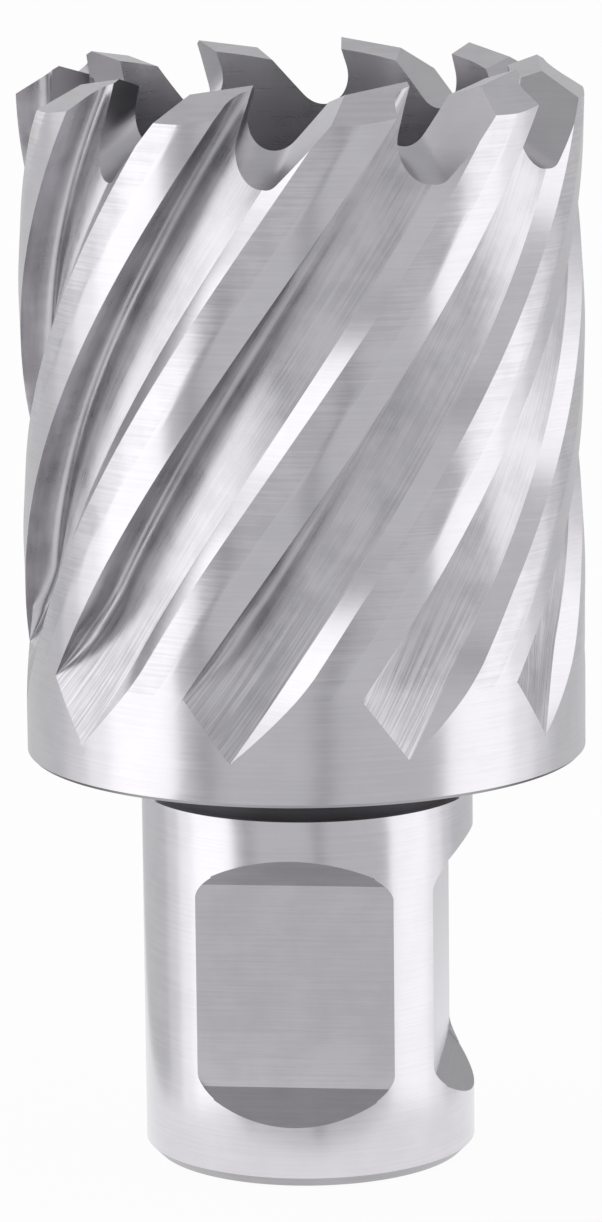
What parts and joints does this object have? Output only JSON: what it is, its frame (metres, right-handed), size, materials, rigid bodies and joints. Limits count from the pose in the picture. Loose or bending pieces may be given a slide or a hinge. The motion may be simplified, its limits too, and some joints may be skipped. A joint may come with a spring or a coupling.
{
  "type": "annular cutter",
  "caption": "Hollow fluted core drill with a toothed rim, a plain collar and a flatted shank bored through for an ejector pin.",
  "frame": {"origin": "centre of the shank's end face, which the cutter stands on", "axes": "+Z along the cutter's axis, from the shank end to the teeth; -Y is the front, six degrees off the first drive flat"},
  "size_m": [0.032, 0.032, 0.063],
  "materials": {
    "ground_steel": "ground bright high-speed steel"
  },
  "bodies": {
    "root": {"annular_cutter": "ground_steel"}
  },
  "joints": []
}
